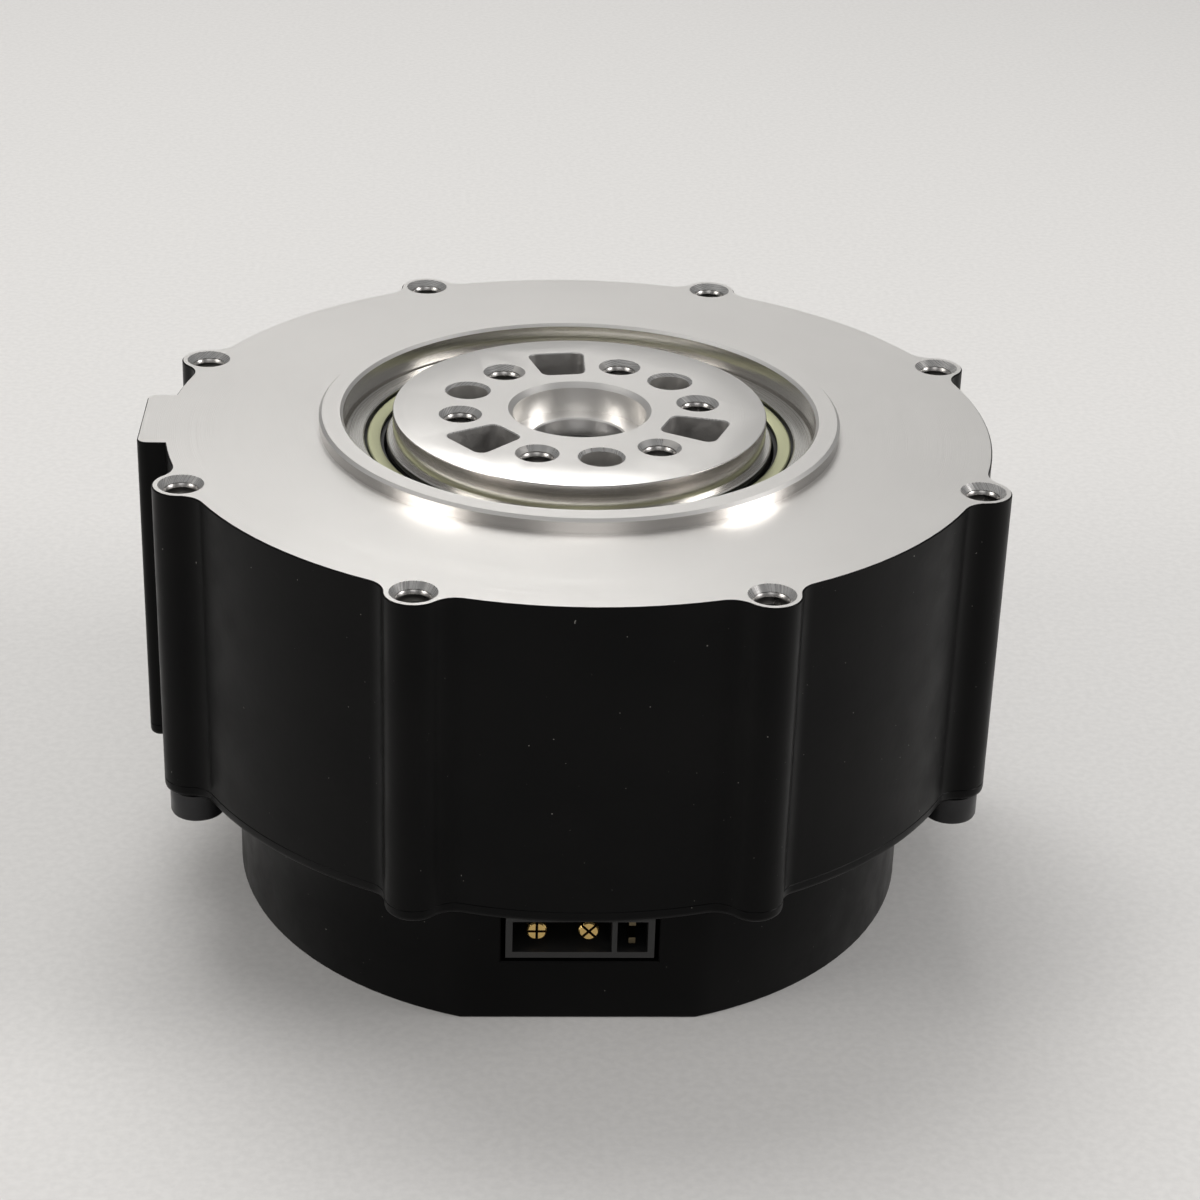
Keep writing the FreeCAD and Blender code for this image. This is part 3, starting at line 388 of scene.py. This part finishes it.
def rearCover():
    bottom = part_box("controller_case")[1][2]
    mesh = copyNode("rear_cover")
    bevelCreases(mesh, wallCreases(mesh, bottom), coverLook["footRound"], 3)
    bevelCreases(mesh, wallCreases(mesh, bottom + coverLook["rim"]), coverLook["seam"])
    piece = finishMesh(mesh, "coverPlate", "blackCoat", "housing")
    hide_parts("rear_cover")


screwLook = {"headRadius": 2.7 * mm, "rounding": 0.35 * mm, "socket": 1.45 * mm, "socketDepth": 1.4 * mm,
             "inset": 0.45 * mm}


# A blind hole straight up from a closed loop of edges
def sinkHole(mesh, loop, depth):
    walls = bmesh.ops.extrude_edge_only(mesh, edges=loop)["geom"]
    deep = [item for item in walls if isinstance(item, bmesh.types.BMVert)]
    bmesh.ops.translate(mesh, verts=deep, vec=(0, 0, depth))
    rim = [item for item in walls if isinstance(item, bmesh.types.BMEdge)
           and all(corner in deep for corner in item.verts)]
    bmesh.ops.contextual_create(mesh, geom=rim)


# A cap head seen from below: a turned cup whose floor has a six-sided socket
def socketHead(mesh, centre, bottom, top, radius, rounding, socket, depth):
    floor = socket * 1.12
    outline = [(floor, bottom), (radius - rounding, bottom),
               (radius - rounding * 0.3, bottom + rounding * 0.3), (radius, bottom + rounding),
               (radius, top), (floor, top)]
    corners = [mesh.verts.new((centre.x + reach, centre.y, height)) for reach, height in outline]
    edges = [mesh.edges.new((corners[i], corners[i + 1])) for i in range(len(corners) - 1)]
    bmesh.ops.spin(mesh, geom=corners + edges, cent=(centre.x, centre.y, 0), axis=axisZ, angle=math.tau,
                   steps=48, use_merge=True, use_duplicate=False)
    place = Matrix.Translation((centre.x, centre.y, bottom))
    rim = bmesh.ops.create_circle(mesh, segments=48, radius=floor, matrix=place)["verts"]
    hexagon = bmesh.ops.create_circle(mesh, segments=6, radius=socket, matrix=place)["verts"]
    loops = [edge for edge in mesh.edges if all(corner in rim for corner in edge.verts)]
    sides = [edge for edge in mesh.edges if all(corner in hexagon for corner in edge.verts)]
    bmesh.ops.bridge_loops(mesh, edges=loops + sides)
    sinkHole(mesh, sides, depth)


def coverScrews():
    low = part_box("cover_screws")[0][2]
    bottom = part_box("controller_case")[1][2]
    circle = earCircle - screwLook["inset"]
    mesh = bmesh.new()
    for turn in (earTurn, -earTurn, math.pi + earTurn, math.pi - earTurn):
        socketHead(mesh, around(circle, turn), low, bottom - 0.01 * mm, screwLook["headRadius"],
                   screwLook["rounding"], screwLook["socket"], screwLook["socketDepth"])
    bmesh.ops.remove_doubles(mesh, verts=mesh.verts, dist=1e-6)
    bmesh.ops.recalc_face_normals(mesh, faces=mesh.faces)
    piece = finishMesh(mesh, "capScrews", "blackSteel", "housing")
    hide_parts("cover_screws")


caseLook = {"edge": 0.3 * mm, "openingEdge": 0.15 * mm, "screwCircle": 27 * mm,
            "screwTurn": math.radians(45), "recess": 2.35 * mm, "recessDepth": 1 * mm,
            "headRadius": 2.2 * mm, "headTop": 0.9 * mm, "headSink": 0.03 * mm, "headRounding": 0.05 * mm,
            "socket": 1 * mm, "socketDepth": 0.8 * mm}


# Four round recesses for screw heads in the flat underside
def sinkRecesses(mesh):
    look = caseLook
    flat = [face for face in mesh.faces
            if face.calc_center_median().z < 0.001 * mm and abs(face.normal.z) > 0.99]
    edges = [edge for edge in mesh.edges if sum(face in flat for face in edge.link_faces) == 1]
    bmesh.ops.delete(mesh, geom=flat, context="FACES_KEEP_BOUNDARY")
    rings = []
    for k in range(4):
        place = Matrix.Translation(around(look["screwCircle"], look["screwTurn"] + k * math.pi / 2))
        corners = bmesh.ops.create_circle(mesh, segments=40, radius=look["recess"], matrix=place)["verts"]
        rings.append([edge for edge in mesh.edges if all(corner in corners for corner in edge.verts)])
    bmesh.ops.triangle_fill(mesh, use_beauty=True, edges=edges + [edge for ring in rings for edge in ring])
    for ring in rings:
        sinkHole(mesh, ring, look["recessDepth"])
    bmesh.ops.recalc_face_normals(mesh, faces=mesh.faces)


def controllerCase():
    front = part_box("controller_case")[0][1]
    mesh = copyNode("controller_case")
    bevelCreases(mesh, creases(mesh, 0), caseLook["edge"], 2)
    opening = [edge for edge in mesh.edges if edge.is_manifold and edge.calc_face_angle(0) > sharpEdge
               and all(abs(corner.co.y - front) < 0.02 * mm for corner in edge.verts)
               and all(1 * mm < corner.co.z < 15.5 * mm for corner in edge.verts)]
    bevelCreases(mesh, opening, caseLook["openingEdge"])
    sinkRecesses(mesh)
    piece = finishMesh(mesh, "caseShell", "blackCoat", "housing")
    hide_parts("controller_case")


# Flat screw heads in the recesses of the underside
def caseScrews():
    look = caseLook
    mesh = bmesh.new()
    for k in range(4):
        centre = around(look["screwCircle"], look["screwTurn"] + k * math.pi / 2)
        socketHead(mesh, centre, look["headSink"], look["headTop"], look["headRadius"], look["headRounding"],
                   look["socket"], look["socketDepth"])
    bmesh.ops.remove_doubles(mesh, verts=mesh.verts, dist=1e-6)
    bmesh.ops.recalc_face_normals(mesh, faces=mesh.faces)
    finishMesh(mesh, "caseScrews", "blackSteel", "housing")


flangeLook = {"rim": 0.2 * mm, "pilot": 0.5 * mm, "ledge": 0.15 * mm, "bolt": 0.5 * mm, "dowel": 0.3 * mm,
              "pocket": 0.1 * mm, "boltRadius": 1.65 * mm, "dowelRadius": 2.01 * mm,
              "throatRadius": 4.7 * mm, "pilotDepth": 3 * mm, "pocketDepth": 6.1 * mm,
              "pocketInner": 8.7 * mm, "pocketOuter": 15.3 * mm}


# Rough pocket walls, a smooth rim, and duller cuts round the holes
def paintFlange(piece):
    look = flangeLook
    blasted, bright, rimCut = 1, 2, 3
    for name in ("blasted", "bright", "rimCut"):
        piece.data.materials.append(looks[name])
    for face in piece.data.polygons:
        middle = face.center
        reach = reachOf(middle)
        turn = (math.degrees(math.atan2(middle.y, middle.x) - gearTurn) - 60) % 120  # past a pocket
        beside = min(turn, 120 - turn) < 22
        inPocket = look["pocketInner"] + 0.2 * mm < reach < look["pocketOuter"] - 0.2 * mm and beside
        if inPocket and flangeTop - look["pocketDepth"] < middle.z < flangeTop - 0.15 * mm:
            face.material_index = blasted
        elif reach > 18 * mm and abs(face.normal.z) < 0.4:
            face.material_index = bright
        elif flangeTop - 0.6 * mm < middle.z and 9 * mm < reach < 15 * mm and face.normal.z < 0.9:
            face.material_index = rimCut


def outputFlange():
    look = flangeLook
    mesh = copyNode("output_flange")
    for place in boltPlaces:
        bevelCreases(mesh, creases(mesh, flangeTop, place, look["boltRadius"]), look["bolt"])
    for place in dowelPlaces:
        bevelCreases(mesh, creases(mesh, flangeTop, place, look["dowelRadius"]), look["dowel"])
    centre = Vector((0, 0, 0))
    pilotRadius = mounts["output_pilot"]["dims"]["r_mm"] * mm
    bevelCreases(mesh, creases(mesh, flangeTop, centre, pilotRadius), look["pilot"])
    bevelCreases(mesh, creases(mesh, flangeTop, centre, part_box("output_flange")[1][0]), look["rim"], 2)
    throat = creases(mesh, flangeTop - look["pilotDepth"], centre, look["throatRadius"])
    bevelCreases(mesh, throat, look["ledge"])
    inner, outer = look["pocketInner"], look["pocketOuter"]
    pockets = [edge for edge in creases(mesh, flangeTop)
               if all(inner < reachOf(corner.co) < outer for corner in edge.verts)
               and all((corner.co.xy - place.xy).length >= 2.9 * mm for corner in edge.verts
                       for place in boltPlaces + dowelPlaces)]
    bevelCreases(mesh, pockets, look["pocket"])
    piece = finishMesh(mesh, "outputFace", "turned", "output")
    paintFlange(piece)
    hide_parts("output_flange")


bearingLook = {"raceInner": 21.45 * mm, "shieldOuter": 21.15 * mm, "shieldInner": 19.85 * mm,
               "cageInner": 19.5 * mm, "cageBottom": 1.2 * mm, "cageTop": 0.9 * mm, "innerWall": 1.7 * mm,
               "sink": 0.28 * mm, "shield": 0.35 * mm, "bevel": 0.25 * mm}


def bearingShield(name, top):
    inner, outer, thickness = (bearingLook[key] for key in ("shieldInner", "shieldOuter", "shield"))
    piece = spun(name, [
        (inner, top - thickness), (outer, top - thickness), (outer, top - 0.08 * mm),
        (outer - 0.12 * mm, top), (inner + 0.3 * mm, top), (inner, top - 0.12 * mm)], "shield", "housing")
    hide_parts("bearing_outer_race")


def outputBearing():
    look = bearingLook
    bevel = look["bevel"]
    raceInner, cageInner, cageOuter = look["raceInner"], look["cageInner"], look["raceInner"] + 0.1 * mm
    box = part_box("bearing_outer_race")
    low, high, outside = box[0][2], box[1][2], box[1][0]
    race = spun("outerRace", [
        (raceInner, low), (outside - bevel, low), (outside, low + bevel), (outside, high - bevel),
        (outside - bevel, high), (raceInner + bevel / 2, high), (raceInner, high - bevel / 2)],
        "race", "housing")
    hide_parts("bearing_outer_race")
    bearingShield("upperShield", high - look["sink"])
    bearingShield("lowerShield", low + look["sink"] + look["shield"])
    bottom, top = low + look["cageBottom"], high - look["cageTop"]
    cage = spun("bearingCage", [
        (cageInner, bottom), (cageOuter, bottom), (cageOuter, top), (cageInner, top)],
        "rubber", "housing", steps=96)
    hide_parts("bearing_outer_race")
    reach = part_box("bearing_inner_race")[1][0]
    bore = reach - look["innerWall"]
    ring = spun("innerRace", [
        (bore, low), (reach, low), (reach, high - bevel / 2), (reach - bevel / 2, high),
        (bore + bevel, high), (bore, high - bevel)], "race", "output")
    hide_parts("bearing_inner_race")


pinLook = {"radius": 1.0 * mm, "slit": 0.26 * mm, "tip": 0.14 * mm}


def powerPins():
    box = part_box("power_pins")
    front, back = box[0][1], box[1][1]
    height = (box[0][2] + box[1][2]) / 2
    mesh = bmesh.new()
    radius = pinLook["radius"]
    for across, twist in ((box[0][0] + radius, 0), (box[1][0] - radius, math.pi / 4)):
        for quarter in range(4):
            first = len(mesh.verts)
            reach = radius - pinLook["slit"] * 0.7
            tip = pinLook["tip"]
            outline = [(0, front), (reach - tip, front), (reach, front + tip), (reach, back), (0, back)]
            corners = [mesh.verts.new((x, y, 0)) for x, y in outline]
            edges = [mesh.edges.new((corners[i], corners[(i + 1) % 5])) for i in range(5)]
            wall = mesh.faces.new(corners)
            bmesh.ops.spin(mesh, geom=[wall] + edges + corners, cent=(0, 0, 0), axis=(0, 1, 0),
                           angle=math.pi / 2, steps=8, use_merge=False, use_duplicate=False)
            mesh.verts.ensure_lookup_table()
            grown = mesh.verts[first:]
            bmesh.ops.translate(mesh, verts=grown, vec=(pinLook["slit"] / 2, 0, -pinLook["slit"] / 2))
            bmesh.ops.rotate(mesh, verts=grown, cent=(0, 0, 0),
                             matrix=Matrix.Rotation(quarter * math.pi / 2 + twist, 3, "Y"))
            bmesh.ops.translate(mesh, verts=grown, vec=(across, 0, height))
    bmesh.ops.remove_doubles(mesh, verts=mesh.verts, dist=1e-7)
    bmesh.ops.recalc_face_normals(mesh, faces=mesh.faces)
    piece = finishMesh(mesh, "splitPins", "gold", "housing")
    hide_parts("power_pins")


frontHousing()
threads("columnThreads", earPlaces, housingFace, "housing")
rearCover()
coverScrews()
controllerCase()
caseScrews()
print("housing dressed")
outputFlange()
threads("flangeThreads", boltPlaces, flangeTop, "output")
outputBearing()
powerPins()
print("flange, bearing and connector dressed")

plainNodes = {
    "controller_board": "board", "power_transistors": "blackPlastic", "processor_chip": "blackPlastic",
    "sensor_chip": "blackPlastic", "capacitors": "nickel", "sensor_magnet": "nickel",
    # signal_pins take the dimmed gold contact look, painted shade inside the connector
    "connector_shell": "blackPlastic", "signal_pins": "shadedContact", "ring_gear": "steel",
    "carrier_plate": "turned", "planet_pins": "steel", "planet_gear_1": "steel", "planet_gear_2": "steel",
    "planet_gear_3": "steel", "sun_shaft": "steel", "rotor_cup": "steel", "rotor_magnets": "nickel",
    "stator_core": "lamination", "stator_windings": "copper", "phase_leads": "copper",
    "upper_bearing": "rubber", "lower_bearing": "race",
}
for node, look in plainNodes.items():
    giveLook(node, look)


studio = {"floor": (0.76, 0.75, 0.74), "world": (0.80, 0.80, 0.80), "worldStrength": 0.31}


def addFloor():
    mesh = bmesh.new()
    bmesh.ops.create_grid(mesh, x_segments=1, y_segments=1, size=3.0)
    data = bpy.data.meshes.new("floor")
    mesh.to_mesh(data)
    mesh.free()
    floor = bpy.data.objects.new("floor", data)
    bpy.context.scene.collection.objects.link(floor)
    material, tree, shader = newMaterial("floorPaper", studio["floor"], 0.0, 0.8)
    grain = addNoise(tree, 1200)
    low = tuple(channel * 0.94 for channel in studio["floor"])
    tree.links.new(addMix(tree, addRamp(tree, grain.outputs["Fac"], 0, 1), low, studio["floor"]),
                   shader.inputs["Base Color"])
    data.materials.append(material)


def addWorld():
    world = bpy.data.worlds.new("studio")
    world.use_nodes = True
    background = world.node_tree.nodes["Background"]
    background.inputs["Color"].default_value = (*studio["world"], 1)
    background.inputs["Strength"].default_value = studio["worldStrength"]
    bpy.context.scene.world = world


lamps = {
    "backSoft": {"place": (-0.05, 0.75, 0.48), "size": 0.70, "power": 0.45, "color": (1.0, 0.98, 0.95)},
    "topSoft": {"place": (-0.10, 0.30, 0.66), "size": 0.40, "power": 2.5, "color": (1.0, 0.99, 0.97)},
    "frontFill": {"place": (0.02, -0.95, 0.75), "size": 0.60, "power": 1.6, "color": (1.0, 0.99, 0.98)},
    "leftSoft": {"place": (-0.60, -0.25, 0.30), "size": 0.30, "power": 1.6, "color": (1.0, 0.97, 0.93)},
    "rightSoft": {"place": (0.55, -0.12, 0.28), "size": 0.25, "power": 1.6, "color": (1.0, 0.98, 0.96)},
}


def addLamps():
    for name, look in lamps.items():
        lamp = bpy.data.lights.new(name, "AREA")
        lamp.shape = "SQUARE"
        lamp.size = look["size"]
        lamp.energy = look["power"]
        lamp.color = look["color"]
        holder = bpy.data.objects.new(name, lamp)
        holder.location = look["place"]
        aim = Vector((0, 0, 0.025)) - holder.location
        holder.rotation_euler = aim.to_track_quat("-Z", "Y").to_euler()
        bpy.context.scene.collection.objects.link(holder)


view = {"place": (-11.248, -261.725, 160.300), "pitch": -26.609, "yaw": 3.030, "roll": 1.795, "lens": 85.415}


def addCamera():
    pitch, yaw, roll = (math.radians(view[key]) for key in ("pitch", "yaw", "roll"))
    forward = Vector((math.sin(yaw) * math.cos(pitch), math.cos(yaw) * math.cos(pitch), math.sin(pitch)))
    right = Vector((math.cos(yaw), -math.sin(yaw), 0))
    up = right.cross(forward)
    across = right * math.cos(roll) + up * math.sin(roll)
    above = up * math.cos(roll) - right * math.sin(roll)
    camera = bpy.data.cameras.new("camera")
    camera.lens = view["lens"]
    camera.sensor_width = 36
    camera.clip_start = 0.01
    holder = bpy.data.objects.new("camera", camera)
    holder.matrix_world = Matrix.Translation(Vector(view["place"]) * mm) @ Matrix((
        (across.x, above.x, -forward.x), (across.y, above.y, -forward.y), (across.z, above.z, -forward.z),
    )).to_4x4()
    bpy.context.scene.collection.objects.link(holder)
    bpy.context.scene.camera = holder


addFloor()
addWorld()
addLamps()
addCamera()
bpy.context.scene.view_settings.view_transform = "Standard"
print("studio ready")
